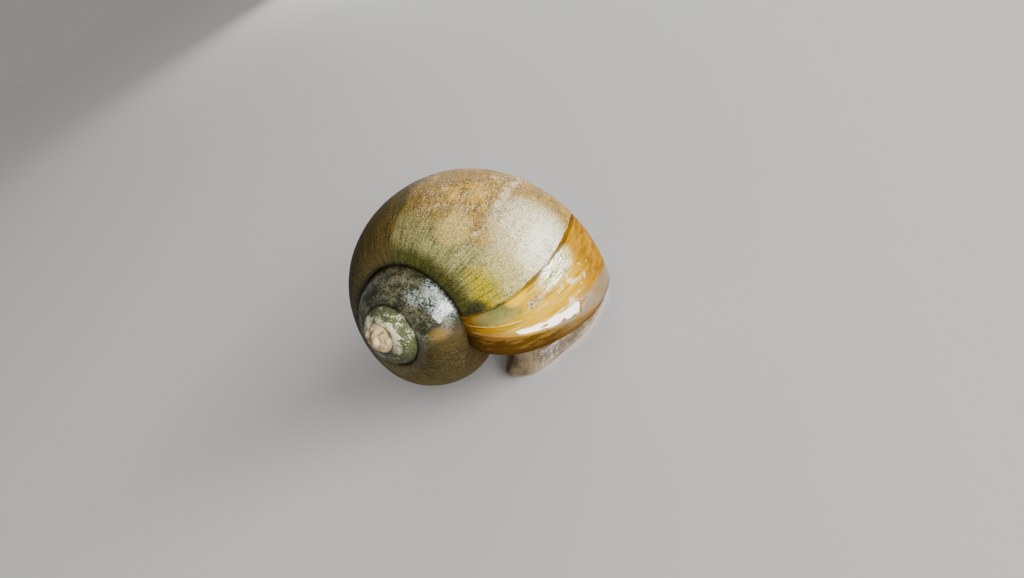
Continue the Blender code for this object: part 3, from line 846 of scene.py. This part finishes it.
fresh_angles = np.linspace(SUTURE_ANGLE + FRESH_TUCK, NAVEL_ANGLE - FRESH_TUCK, FRESH_SIDES + 1)
fresh_section = [pushed_outline(math.radians(a), -FRESH_STEP_DOWN) for a in fresh_angles]
new_growth = start("new_growth", circle, vertices=FRESH_SIDES + 1, radius=MOUTH_RADIUS)
for edge in new_growth.data.edges:
    edge.select = set(edge.vertices) == {0, FRESH_SIDES}
new_growth.data.vertices.foreach_set("select", [False] * (FRESH_SIDES + 1))
bpy.ops.object.mode_set(mode="EDIT")
bpy.ops.mesh.select_mode(type="EDGE")
bpy.ops.mesh.delete(type="EDGE")
leave_edit()
set_corners(new_growth, [on_coil(0.0, p) for p in fresh_section])
edit_all(new_growth)
wind(FRESH_STEPS, -(OLD_LIP + TUCKED_UNDER) / FRESH_STEPS)
leave_edit()
face_outward(new_growth)

# %% Lean, wrinkle and thicken it
WRINKLE_HEIGHT = 0.22 * MM
RIPPLE_HEIGHT = 0.035 * MM
FOLD_MIDDLE = -0.0200
FOLD_SLANT = -0.00026
FOLD_WIDTH = 0.0140
FOLD_NARROWS = 0.00015
FOLD_NARROWEST = 0.005
FOLD_WIDEST = 0.0145
FOLD_STEEP = 138 * MM
FOLD_STEEPEST = 146 * MM
FOLD_EASES = 1.8 * MM
FOLD_UNEVEN = 0.0024
FRESH_WALL = 0.85 * MM
LIP_EDGE_SHARE = 0.45


def outward_share(piece, middle):
    """How many of the faces look away from a point of the axis through the whorl."""
    faces = piece.data.polygons
    return sum((f.center - middle).dot(f.normal) > 0 for f in faces) / len(faces)


fresh_turns = np.linspace(0, -(OLD_LIP + TUCKED_UNDER), FRESH_STEPS + 1)
turn_marks = np.repeat(fresh_turns, FRESH_SIDES + 1)
depths = np.tile([p.y for p in fresh_section], FRESH_STEPS + 1)
places = corners(new_growth)
for i, (turn, depth) in enumerate(zip(turn_marks, depths)):
    places[i] = slid(places[i], old_lip_slope(turn) * (depth / MOUTH_DEPTH - 1))
set_corners(new_growth, places)
mark(new_growth, "turn", turn_marks / TURN)
mark(new_growth, "angle", np.tile(fresh_angles, FRESH_STEPS + 1))
if outward_share(new_growth, on_coil(-OLD_LIP / 2, Vector((MOUTH_RADIUS, MOUTH_DEPTH)))) < 0.5:
    new_growth.data.flip_normals()
modify(new_growth, "SUBSURF", levels=1, render_levels=1)


def ramp(value):
    """0 below 0 and 1 above 1, straight between them but for rounded corners."""
    return sum(min(1.0, max(0.0, value + shift)) for shift in (-0.12, 0.0, 0.12)) / 3


def fold_middle(angle):
    """Turn at which the fold is halfway up, which lies farther back toward the suture."""
    return FOLD_MIDDLE + FOLD_SLANT * angle


def fold_height(turn, angle):
    """A dip, a straight rise and a roll toward the lip, where growth started anew."""
    width = min(FOLD_WIDEST, max(FOLD_NARROWEST, FOLD_WIDTH - FOLD_NARROWS * angle))
    steep = min(FOLD_STEEPEST, max(0.0, FOLD_STEEP - FOLD_EASES * angle))
    rise = width * steep * ramp((angle + 34) / 20)
    uneven = FOLD_UNEVEN * noise.noise((angle / 11, turn * 25, 8))
    past = turn - fold_middle(angle) + width / 2 + uneven
    dip = 0.35 * ramp(past / 0.02 + 1)
    roll = 0.5 * ramp((past - width) / 0.012)
    return rise * (ramp(past / width) - dip - roll)


def wrinkle(turn, angle):
    """Height of the fresh edge: the fold, and crinkles along the growth lines behind it."""
    wander = noise.noise((angle / 13, turn * 45, 2))
    fold = noise.noise((turn * 190 + 2.6 * wander, angle / 7, 4))
    pit = noise.noise((turn * 330 + 3 * wander, angle / 3.5, 9))
    swell = noise.noise((turn * 60, angle / 30, 6))
    ripple = RIPPLE_HEIGHT * noise.noise((turn * 150, angle / 5, 13))
    away_from_old = min(1.0, max(0.0, (turn + OLD_LIP / TURN) / 0.006))
    before = ramp((fold_middle(angle) - turn) / 0.008 - 0.6)
    crinkled = math.exp(-((turn + 0.069) / 0.016) ** 2 - ((angle + 1) / 20) ** 2)
    folds = before * (0.10 + 0.90 * crinkled) * (1 - abs(fold) * 2.2 + 1.1 * pit)
    return away_from_old * (WRINKLE_HEIGHT * (folds + 0.35 * swell) + ripple + fold_height(turn, angle))


turn_marks, angle_marks = marked(new_growth, "turn"), marked(new_growth, "angle")
heights = np.array([wrinkle(float(t), float(a)) for t, a in zip(turn_marks, angle_marks)])
raise_by(new_growth, heights)
wall = new_growth.vertex_groups.new(name="wall")
for i, turn in enumerate(turn_marks):
    wall.add((i,), min(1.0, LIP_EDGE_SHARE + abs(float(turn)) / 0.02 * (1 - LIP_EDGE_SHARE)), "REPLACE")
outer_count = len(new_growth.data.vertices)
modify(new_growth, "SOLIDIFY", thickness=FRESH_WALL, offset=-1, vertex_group="wall")
mark(new_growth, "inside", np.arange(len(new_growth.data.vertices)) >= outer_count)
stand(new_growth)
smooth(new_growth)
report(new_growth)
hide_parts("shell_new_growth")
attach(new_growth, "root")

# %% [markdown]
# ### The new growth's finish
#
# The fresh edge is thin and still wet, so the horny skin glows yellow-orange under a clear gloss. It
# turns tan at the rim, greenish by the suture and dark brown where it curves under.

# %% Colours of the new growth
AMBER = (0.34, 0.158, 0.001)
DEEP_AMBER = (0.18, 0.080, 0.001)
GOLD = (0.60, 0.350, 0.001)
YOLK = (0.78, 0.460, 0.002)
PALE_FOLD = (0.80, 0.74, 0.28)
CRACK_SHADE_OLIVE = (0.10, 0.085, 0.012)
PALE_GLINT = (0.84, 0.70, 0.52)
GRAIN_PINK = (0.60, 0.46, 0.25)
GRAIN_BROWN = (0.17, 0.110, 0.040)
GREEN_GOLD = (0.115, 0.125, 0.030)
PALE_LINE = (0.24, 0.225, 0.075)
RIM_TAN = (0.155, 0.110, 0.050)
UNDER_BROWN = (0.045, 0.020, 0.004)
UNDER_TAN = (0.17, 0.085, 0.016)
INNER_LIP = (0.46, 0.29, 0.11)

# %% Where its patches lie, and its patterns
GOLD_PATCH = (-0.046, 20), (0.034, 36)
GREEN_WEDGE = (-0.067, 55), (0.016, 21)
YOLK_PATCH = (-0.077, 34), (0.009, 8)
CRINKLES = (-0.069, 1), (0.013, 18)
GLINTS = (-0.045, -6), (0.024, 26)
GRAINY_PATCH = (-0.059, 24), (0.007, 7)

f = Finish("new_growth")
f.turn, f.angle, at = f.mark("turn"), f.mark("angle"), f.place()
ragged = f.noise(at, 420, 5, 0.62)
broad = f.noise(at, 200, 3, 0.55)
fine = f.noise(at, 1700, 3, 0.7)
lines = drawn_out(f, 420, 30, 4.0, 3, 0.6)
stains = drawn_out(f, 170, 20, 8.0, 4, 0.65)
past = f.turn - fold_middle(f.angle)
half = FOLD_WIDTH / 2 - FOLD_NARROWS / 2 * f.angle
f.tell("patterns")

# %% Amber that turns gold in the middle, and green by the suture
f.colour = f.blend((broad * 0.4 + stains * 0.6).rise(0.40, 0.56), DEEP_AMBER, AMBER)
gold = spot(f, GOLD_PATCH, broad * 0.5 + stains * 0.5, 0.9)
f.paint(gold * 0.9, GOLD)
f.paint(lines.rise(0.46, 0.38) * 0.6, DEEP_AMBER)
f.paint(lines.rise(0.56, 0.66) * gold * 0.40, PALE_GLINT)
green = f.blend(broad.rise(0.36, 0.66), GREEN_GOLD, PALE_LINE)
f.paint(spot(f, GREEN_WEDGE, broad, 0.8) * 0.95, green)
f.paint(spot(f, YOLK_PATCH, broad, 0.8) * 0.9, YOLK)
f.tell("amber and gold")

# %% Crinkles with painted highlights on their pale crests and painted shade in their dark cracks, painted glints beyond them, and a grainy patch below
folds = spot(f, CRINKLES, broad * 0.7 + ragged * 0.3, 0.8)
# Painted highlights on the crests of the crinkles, over their own pale skin.
crest_glints = (lines * 0.5 + ragged * 0.5).rise(0.36, 0.50)
f.paint(folds * crest_glints * 0.92, PALE_FOLD)
# Painted shade in the cracks between the crinkles, over their own olive marks.
cracks = (lines * 0.25 + fine * 0.45 + ragged * 0.30).rise(0.52, 0.46)
f.paint(folds * cracks * 0.9, CRACK_SHADE_OLIVE)
# Painted reflections: pale spots that stand for the glints of the wet gloss.
broken = (ragged * 0.65 + broad * 0.35).rise(0.53, 0.61)
glints = spot(f, GLINTS, broad, 0.8) * broken
f.paint(glints * 0.75, PALE_GLINT)
grains = f.blend(fine.rise(0.40, 0.58), GRAIN_BROWN, GRAIN_PINK)
f.paint(spot(f, GRAINY_PATCH, ragged, 0.8) * 0.85, grains)
f.tell("crinkles")

# %% The tan rim, the brown past the fold, a pale thread above it, and a painted shadow under the old lip
rim = (f.turn + ragged.about(0.02)).rise(-0.028, -0.014) * f.angle.rise(36, 6)
f.paint(rim * 0.9, f.blend(ragged.rise(0.42, 0.6), UNDER_TAN, RIM_TAN))
below = past - half
under = (below + ragged.about(0.006)).rise(-0.002, 0.004) * f.angle.rise(0, 20)
f.paint(under * 0.92, f.blend((stains + below * -9).rise(0.36, 0.52), UNDER_BROWN, UNDER_TAN))
thread = (past + 0.016).between(-0.0007, 0.0007, 0.0009) * f.angle.rise(24, 34)
f.paint(thread * ragged.rise(0.36, 0.5) * 0.7, PALE_FOLD)
edge = (f.turn + ragged.about(0.006)).rise(-0.007, -0.001)
f.paint(edge * 0.7, UNDER_BROWN)
# Painted shadow: a thin dark line on the new growth just under the edge of the old lip.
shadow_under_old_lip = (f.turn + ragged.about(0.004)).rise(-0.0780, -0.0800)
f.dim(1 - 0.6 * shadow_under_old_lip)
f.tell("rim")

# %% The whole finish of the new growth
f.dim(0.84 + 0.32 * lines)
f.paint(f.mark("inside"), INNER_LIP)
f.set(Base_Color=f.colour, Roughness=0.40 + 0.25 * ragged.rise(0.45, 0.7))
face = (past / half).between(-1.15, 1.25, 0.25)
wet = (face + folds * 0.8 + glints * 0.6 - under * 0.3).rise(0.0, 1.0)
f.set(Coat_Weight=wet, Coat_Roughness=0.06, Coat_IOR=2.3, Specular_IOR_Level=0.03)
f.set(Normal=f.bump(lines * 0.3 + ragged * 0.7, 0.05 * MM, 0.4))
f.give(new_growth)

# %% [markdown]
# ## The soft body
#
# Foot, head, feelers, breathing tube and mantle are one living skin without a seam. The solids have
# thin gaps between them, so copies of them are swollen until they meet, fused by a voxel remesh,
# smoothed and drawn in again. Sculpting each one anew would fit the frame less well.

# %% Fuse the flesh
FLESH_NODES = ["foot", "head", "mantle", "siphon"]
for side in ("left", "right"):
    FLESH_NODES += [f"tentacle_{side}_{part}" for part in ("base", "middle", "tip")]
    FLESH_NODES.append(f"labial_palp_{side}")
SWELL = 0.2 * MM
VOXEL = 0.25 * MM

copies = []
for node in FLESH_NODES:
    piece = put_in_scene("flesh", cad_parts[node].data.copy())
    modify(piece, "WELD", merge_threshold=0.001 * MM)
    modify(piece, "DISPLACE", strength=SWELL, mid_level=0)
    copies.append(piece)
pick(*copies)
bpy.ops.object.join()
flesh = bpy.context.object
flesh.name = flesh.data.name = "flesh"
modify(flesh, "REMESH", mode="VOXEL", voxel_size=VOXEL)
modify(flesh, "SMOOTH", factor=0.5, iterations=6)
modify(flesh, "DISPLACE", strength=-SWELL * 1.1, mid_level=0)

# %% Furrow the skin
FURROW_DEPTH = 0.16 * MM
FURROW_APART = 1.4 * MM
SOLE_EDGE = 1.2 * MM


def furrow(place):
    """Depth of the skin's net of fine furrows, which stops above the sole."""
    place = Vector(place)
    bent = place / FURROW_APART + noise.noise_vector(place / (3 * MM)) * 0.6
    ridges = noise.voronoi(bent)[0]
    above = min(1.0, max(0.0, place.z / SOLE_EDGE - 0.5))
    return -FURROW_DEPTH * above * max(0.0, 1 - (ridges[1] - ridges[0]) / 0.35)


raise_by(flesh, np.array([furrow(place) for place in corners(flesh)]))
level_with_floor(flesh)
smooth(flesh, SHARP_SOFT_EDGE)
report(flesh)
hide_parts(*FLESH_NODES)
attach(flesh, "root")

# %% [markdown]
# ### The flesh's finish
#
# The skin is moist and grey-brown, freckled with yellow and dark specks, and the sole is paler. The
# specks are cells, and the skin between its fine furrows is raised by bump.

# %% Colours of the flesh
SKIN_DARK = (0.105, 0.080, 0.050)
SKIN_BROWN = (0.25, 0.185, 0.110)
SKIN_FRECKLE = (0.44, 0.30, 0.10)
SOLE = (0.40, 0.32, 0.23)

f = Finish("flesh")
place = f.place()
broad = f.noise(place, 260, 3, 0.6)
cells = f.cells(place, 1500)
colour = f.blend(broad.rise(0.38, 0.64), SKIN_DARK, SKIN_BROWN)
freckle = (cells + broad.about(0.5)).rise(0.30, 0.18)
colour = f.blend(freckle * 0.42, colour, SKIN_FRECKLE)
height = f.node("SeparateXYZ", {}, {0: place}, out=2)
colour = f.blend(height.rise(0.9 * MM, 0.2 * MM), colour, SOLE)
f.set(Base_Color=colour, Roughness=0.34)
f.set(Normal=f.bump(cells, 0.10 * MM, 0.6))
f.shader.inputs["Subsurface Weight"].default_value = 0.15
f.shader.inputs["Subsurface Scale"].default_value = 1.5 * MM
f.give(flesh)

# %% [markdown]
# ## The lid
#
# The operculum is a horny plate on the back of the foot, which shuts the mouth when the snail draws in.
# It grows by rings round a point near its inner side. A disc is drawn in ring by ring toward that
# point, each ring a step lower or higher than the last, and Solidify gives it its thickness. Its place,
# length and width come from the solid that it stands for.

# %% Measure the solid of the lid
def main_axes(places):
    """Middle of a set of places, and their longest, middle and shortest directions."""
    middle = (places.min(0) + places.max(0)) / 2
    _, _, directions = np.linalg.svd(places - places.mean(0), full_matrices=False)
    return Vector(middle), [Vector(d) for d in directions]


lid_places = corners(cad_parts["operculum"])
lid_middle, (lid_long, lid_wide, lid_normal) = main_axes(lid_places)
if lid_long.y > 0:
    lid_long = -lid_long
if lid_normal.z > 0:
    lid_normal = -lid_normal
lid_wide = lid_normal.cross(lid_long)
LID_HALF_LENGTH = max(abs((Vector(p) - lid_middle).dot(lid_long)) for p in lid_places)
LID_HALF_WIDTH = max(abs((Vector(p) - lid_middle).dot(lid_wide)) for p in lid_places)
print("lid:", round(LID_HALF_LENGTH * 2 / MM, 1), "by", round(LID_HALF_WIDTH * 2 / MM, 1), "mm")

# %% Draw in the lid ring by ring
LID_SIDES = 96
LID_RINGS = 44
LID_EGG = 0.14
LID_NUCLEUS = Vector((0.10, -0.38))
LID_DISH = 0.7 * MM
LID_STEP = 0.07 * MM
LID_THICK = 0.75 * MM
LID_RIM = 0.985

lid = start("lid", circle, vertices=LID_SIDES, radius=1)
edit_all(lid)
for ring in range(1, LID_RINGS):
    bpy.ops.mesh.extrude_edges_move()
    shrink = (LID_RINGS - ring) / (LID_RINGS - ring + 1)
    bpy.ops.transform.resize(value=(shrink,) * 3, center_override=(0, 0, 0))
bpy.ops.mesh.merge(type="COLLAPSE")
leave_edit()

places = corners(lid)
shares = np.linalg.norm(places[:, :2], axis=1)
for i, (place, share) in enumerate(zip(places, shares)):
    x, y = place[0], place[1]
    oval_x = x + LID_NUCLEUS.x * (1 - share)
    oval_y = (y + LID_NUCLEUS.y * (1 - share)) * (1 + LID_EGG * oval_x) / (1 + LID_EGG * 0.5)
    wobble = 0.3 * noise.noise((x * 1.5, y * 1.5, share * 3))
    ridge = abs(math.sin(LID_RINGS * 0.5 * (share + 0.05 * wobble)))
    height = -LID_DISH * (1 - share ** 2) + LID_STEP * (ridge + wobble)
    places[i] = (oval_x * LID_HALF_LENGTH * LID_RIM, oval_y * LID_HALF_WIDTH * LID_RIM, height)
set_corners(lid, places)
mark(lid, "share", shares)
lid.matrix_world = (Matrix.Translation(lid_middle + lid_normal * (LID_THICK + LID_DISH) / 2)
                    @ Matrix((lid_long, lid_wide, lid_normal)).transposed().to_4x4())
settle(lid)
modify(lid, "SOLIDIFY", thickness=LID_THICK, offset=-1)
face_outward(lid)
smooth(lid)
report(lid)
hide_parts("operculum")
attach(lid, "root")

# %% Colours of the lid
HORN = (0.13, 0.052, 0.014)
HORN_DARK = (0.035, 0.014, 0.006)
HORN_PALE = (0.30, 0.17, 0.06)

f = Finish("operculum")
share, place = f.mark("share"), f.place()
ragged = f.noise(place, 500, 4, 0.6)
rings = f.noise(f.vector(share * 24, ragged * 1.2), 1.0, 3, 0.6)
colour = f.blend(rings.rise(0.40, 0.60), HORN_DARK, HORN)
colour = f.blend((share + ragged.about(0.2)).rise(0.86, 1.0) * 0.8, colour, HORN_PALE)
f.set(Base_Color=colour, Roughness=0.32 + 0.2 * ragged)
f.set(Normal=f.bump(rings + ragged * 0.5, 0.06 * MM, 0.6))
f.give(lid)

# %% [markdown]
# ## The eyes
#
# Each eye is a dark bead on the end of a short stalk. Its solid is a ball cut flat at the stalk, so the
# ball is found from the solid's own vertices. It is left whole, because its inner side rests in the
# stalk. Its outer side is raised a little into a clear dome, so that it catches the light.

# %% Beads on their stalks
DOME_RISE = 0.10 * MM
DOME_WIDTH = 0.80


def ball_through(places):
    """Middle and radius of the ball whose surface passes through these places."""
    table = np.column_stack((2 * places, np.ones(len(places))))
    answer = np.linalg.lstsq(table, (places ** 2).sum(1), rcond=None)[0]
    middle = answer[:3]
    return Vector(middle), math.sqrt(answer[3] + middle @ middle)


def make_eye(node):
    places = corners(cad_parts[node])
    middle, radius = ball_through(places)
    low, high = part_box(node)
    out = ((Vector(low) + Vector(high)) / 2 - middle).normalized()
    name = node.replace("eye", "eye_bead")
    eye = start(name, sphere, segments=48, ring_count=24, radius=radius, location=middle)
    settle(eye)
    reach = np.array([(Vector(p) - middle).dot(out) / radius for p in corners(eye)])
    mark(eye, "reach", reach)
    dome = DOME_RISE * np.clip((reach - DOME_WIDTH) / (1 - DOME_WIDTH), 0, 1) ** 0.7
    raise_by(eye, dome - DOME_RISE / 2)
    smooth(eye, SHARP_SOFT_EDGE)
    report(eye)
    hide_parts(node)
    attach(eye, "root")
    return eye


eyes = [make_eye("eye_left"), make_eye("eye_right")]

# %% Colours of the eyes
EYE_BLACK = (0.004, 0.004, 0.005)
EYE_RING = (0.16, 0.11, 0.04)

f = Finish("eye")
reach = f.mark("reach")
flecks = f.noise(f.place(), 4000, 2, 0.6)
ring = (reach + flecks.about(0.4)).rise(0.0, -0.35)
f.set(Base_Color=f.blend(ring, EYE_BLACK, EYE_RING), Roughness=0.08 + 0.2 * ring)

for eye in eyes:
    f.give(eye)

# %% [markdown]
# ## Floor and light
#
# The model stands on a plain matt floor, which is only a stage. The light is that of a bright overcast
# day: an even glow from all round, a broad soft sun, a large flat light low on the camera's side, which
# draws the long highlight on the fresh fold, and a weak one from the far side, which keeps that side
# from going dark.

# %% Floor
FLOOR_SIZE = 30
FLOOR_GREY = (0.66, 0.65, 0.635)

floor = start("floor", bpy.ops.mesh.primitive_plane_add, size=FLOOR_SIZE)
floor_finish = Finish("floor")
floor_finish.set(Base_Color=FLOOR_GREY, Roughness=0.7)
floor_finish.give(floor)
floor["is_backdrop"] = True

# %% Glow from all round
GLOW = (0.80, 0.79, 0.77, 1)
HORIZON_STRENGTH = 0.345
OVERHEAD_STRENGTH = 0.26

world = bpy.data.worlds.new("studio")
bpy.context.scene.world = world
world.use_nodes = True
nodes, links = world.node_tree.nodes, world.node_tree.links
direction = nodes.new("ShaderNodeTexCoord")
height = nodes.new("ShaderNodeSeparateXYZ")
fade = nodes.new("ShaderNodeMapRange")
fade.interpolation_type = "SMOOTHSTEP"
fade.inputs["From Max"].default_value = 0.5
fade.inputs["To Min"].default_value = HORIZON_STRENGTH
fade.inputs["To Max"].default_value = OVERHEAD_STRENGTH
links.new(direction.outputs["Generated"], height.inputs[0])
links.new(height.outputs["Z"], fade.inputs["Value"])
links.new(fade.outputs["Result"], nodes["Background"].inputs["Strength"])
nodes["Background"].inputs["Color"].default_value = GLOW
print("glow:", HORIZON_STRENGTH, "at the horizon,", OVERHEAD_STRENGTH, "overhead")

# %% Flat lights and the sun
LIGHT_DISTANCE = 1.0
AIM_HEIGHT = 15 * MM
SUN_DIRECTION = (-0.83, -0.25, 0.50)


def add_light(name, kind, direction, power):
    """A light that looks at the snail from a direction."""
    data = bpy.data.lights.new(name, kind)
    data.energy = power
    light = put_in_scene(name, data)
    aim = Vector(direction).normalized()
    light.location = Vector((0, 0, AIM_HEIGHT)) + aim * LIGHT_DISTANCE
    light.rotation_euler = aim.to_track_quat("Z", "Y").to_euler()
    print("light:", name, power)
    return data


def flat_light(name, direction, width, height, power):
    data = add_light(name, "AREA", direction, power)
    data.shape = "RECTANGLE"
    data.size = width
    data.size_y = height


flat_light("key", (-0.966, -0.04, 0.255), 1.6, 0.36, 30.0)
flat_light("fill", (0.35, -0.93, 0.20), 1.0, 0.30, 4.5)
add_light("sky", "SUN", SUN_DIRECTION, 1.25).angle = math.radians(40)

# %% Sizes, and the end
visual_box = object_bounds()
for axis, low, high in zip("xyz", *visual_box):
    print(axis, round(low / MM, 2), round(high / MM, 2))
